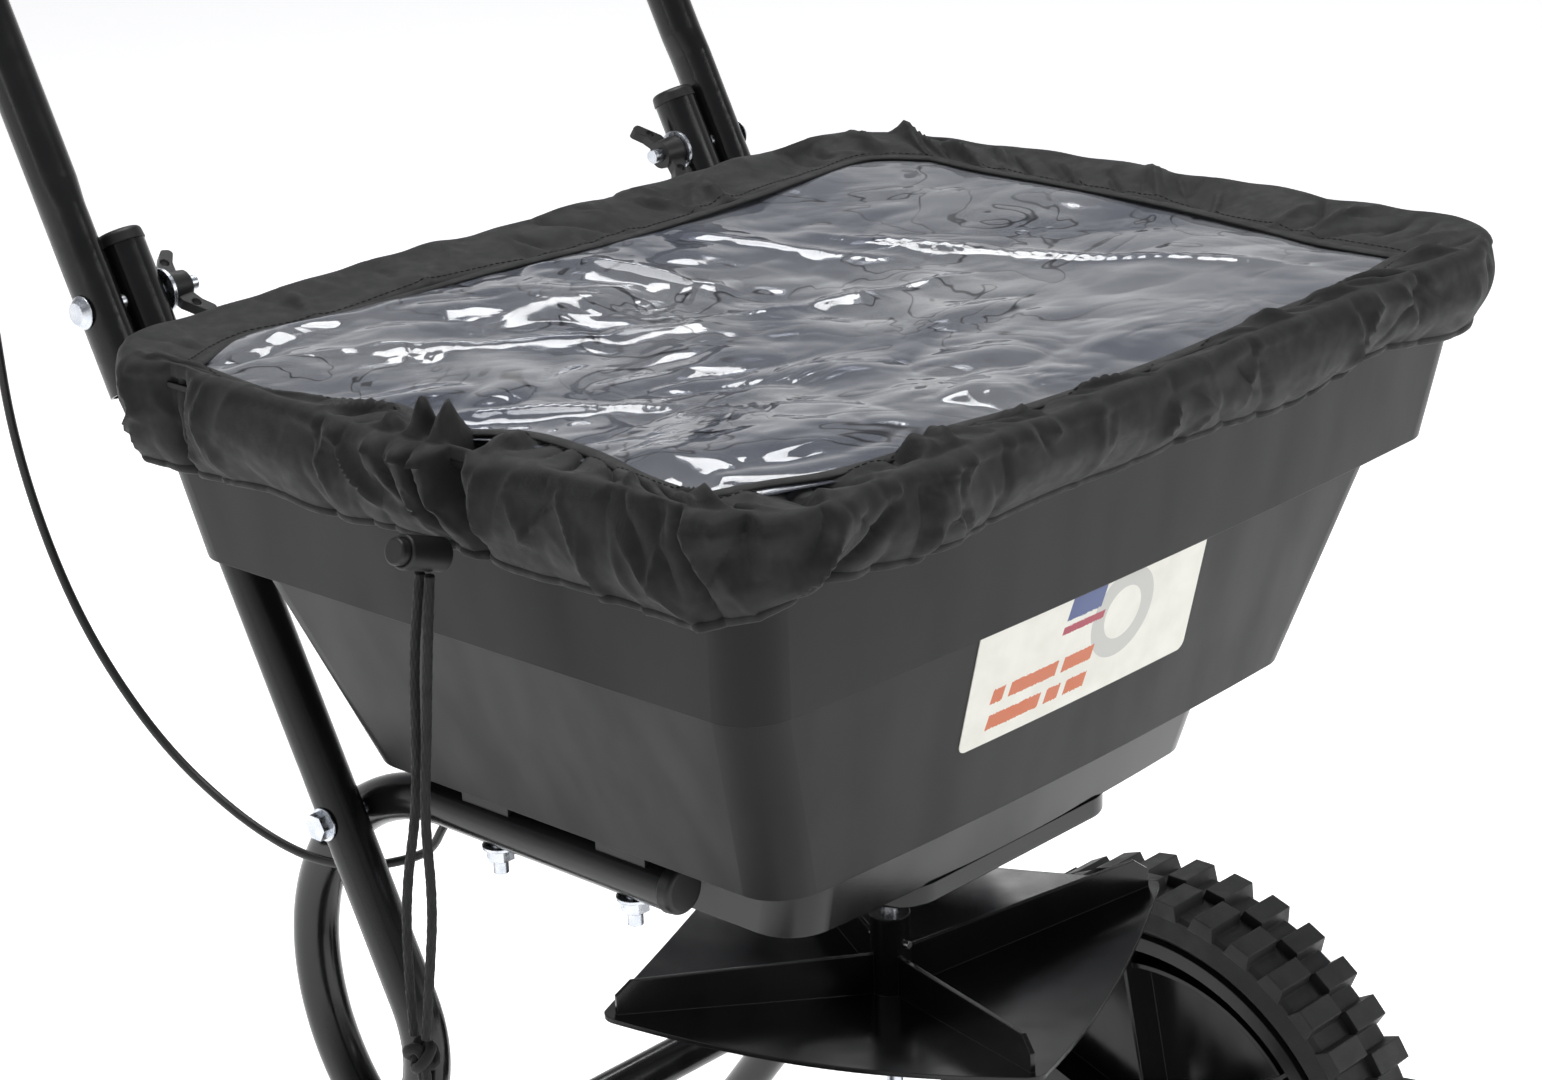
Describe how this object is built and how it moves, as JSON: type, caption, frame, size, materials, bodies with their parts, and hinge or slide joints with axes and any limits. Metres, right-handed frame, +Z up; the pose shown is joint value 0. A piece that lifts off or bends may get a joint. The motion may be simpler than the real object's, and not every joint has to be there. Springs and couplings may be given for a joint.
{
  "type": "broadcast spreader",
  "caption": "Walk-behind rotary spreader: tiered hopper with clear-topped cover, spinning plate, two lugged wheels, stand legs, folding U handle and gate lever.",
  "frame": {"origin": "middle of the footprint box, on the ground under the machine", "axes": "+Z up; -Y is the direction of travel, so the handle is towards +Y; +X is the left-hand side seen by the operator, who walks behind and faces -Y"},
  "size_m": [0.6262, 0.7917, 1.1042],
  "materials": {
    "black_paint": "gloss black powder coat",
    "hopper_plastic": "satin charcoal moulded plastic",
    "gloss_black": "gloss black moulded plastic",
    "black_plastic": "satin black moulded plastic",
    "tyre": "matt black tread",
    "rubber": "matt black rubber",
    "zinc": "bright zinc plated steel",
    "steel": "plain bright steel",
    "cast": "sintered gear",
    "nylon": "natural nylon",
    "label": "printed film with plain colour bars",
    "fabric": "black woven nylon",
    "film": "clear flexible film",
    "cord": "black braided cord"
  },
  "bodies": {
    "frame": {"side_frame_left": "black_paint", "side_frame_right": "black_paint", "leg_tube_left": "black_paint", "leg_tube_right": "black_paint", "cross_tube": "black_paint", "tube_caps": "black_plastic", "leg_feet": "rubber", "frame_bolts": "zinc", "frame_nuts": "zinc", "axle_brackets": "black_paint", "axle_bushes": "nylon", "hopper": "hopper_plastic", "hopper_base": "gloss_black", "hopper_label": "label", "rail_spacers": "black_plastic", "hopper_bolts": "zinc", "hopper_nuts": "zinc", "gate_housing": "gloss_black", "cable_bracket": "black_paint", "gearbox_front": "black_plastic", "gearbox_rear": "black_plastic", "gearbox_screws": "zinc", "shaft_bush": "nylon", "fold_bolts": "zinc", "fold_washers": "zinc", "control_cable": "black_plastic"},
    "drive": {"axle": "steel", "axle_washers": "zinc", "axle_cotters": "zinc", "drive_pin": "steel", "crown_gear": "cast", "tyre_left": "tyre", "wheel_left": "gloss_black"},
    "idle_wheel": {"tyre_right": "tyre", "wheel_right": "gloss_black"},
    "spinner": {"spinner_shaft": "zinc", "spinner_plate": "gloss_black", "spinner_pin": "steel", "pinion_gear": "cast", "agitator": "steel"},
    "gate": {"gate_plate": "steel", "gate_wire": "steel"},
    "handle": {"handle_bar": "black_paint", "handle_grip": "rubber", "lever_quadrant": "black_paint", "lever_pivot": "zinc", "lever_clamp": "black_paint"},
    "lever": {"control_lever": "steel", "lever_knob": "black_plastic", "lever_wire": "steel"},
    "wing_nut_left": {"wing_nut_left": "black_plastic"},
    "wing_nut_right": {"wing_nut_right": "black_plastic"},
    "cover": {"cover_border": "fabric", "cover_window": "film", "cord_lock_barrel": "black_plastic", "cord_lock_spring": "steel", "drawcord_front": "cord", "drawcord_back": "cord", "drawcord_knot": "cord"},
    "cord_lock_button": {"cord_lock_button": "black_plastic"}
  },
  "joints": [
    {"name": "drive_spin", "type": "hinge", "parent": "frame", "child": "drive", "pos_m": [0, -0.1979, 0.168], "axis": [1, 0, 0], "continuous": true},
    {"name": "idle_spin", "type": "hinge", "parent": "frame", "child": "idle_wheel", "pos_m": [-0.25, -0.1979, 0.168], "axis": [1, 0, 0], "continuous": true},
    {"name": "spinner_spin", "type": "hinge", "parent": "frame", "child": "spinner", "pos_m": [0, -0.1979, 0.363], "axis": [0, 0, 1], "continuous": true},
    {"name": "handle_fold", "type": "hinge", "parent": "frame", "child": "handle", "pos_m": [0, 0.12656, 0.745], "axis": [-1, 0, 0], "range_deg": [-96, 0], "deforming": ["control_cable"]},
    {"name": "lever_swing", "type": "hinge", "parent": "handle", "child": "lever", "pos_m": [-0.212, 0.23471, 0.9548], "axis": [1, 0, 0], "range_deg": [0, 70], "deforming": ["lever_wire"]},
    {"name": "gate_slide", "type": "slide", "parent": "frame", "child": "gate", "axis": [0, 1, 0], "range_m": [0, 0.03], "deforming": ["gate_wire"]},
    {"name": "wing_nut_left_turn", "type": "hinge", "parent": "frame", "child": "wing_nut_left", "pos_m": [0.18, 0.12656, 0.745], "axis": [1, 0, 0], "continuous": true},
    {"name": "wing_nut_right_turn", "type": "hinge", "parent": "frame", "child": "wing_nut_right", "pos_m": [-0.18, 0.12656, 0.745], "axis": [1, 0, 0], "continuous": true},
    {"name": "cover_lift", "type": "slide", "parent": "frame", "child": "cover", "axis": [0, 0, 1], "range_m": [0, 0.2]},
    {"name": "cord_lock_press", "type": "slide", "parent": "cover", "child": "cord_lock_button", "axis": [0.9455, 0, -0.3256], "range_m": [0, 0.004], "stiffness_N_per_m": 250, "deforming": ["cord_lock_spring"]}
  ],
  "couplings": [
    {"joint": "spinner_spin", "follows": "drive_spin", "ratio": -2.6667},
    {"joint": "gate_slide", "follows": "lever_swing", "m_per_rad": 0.024554}
  ]
}
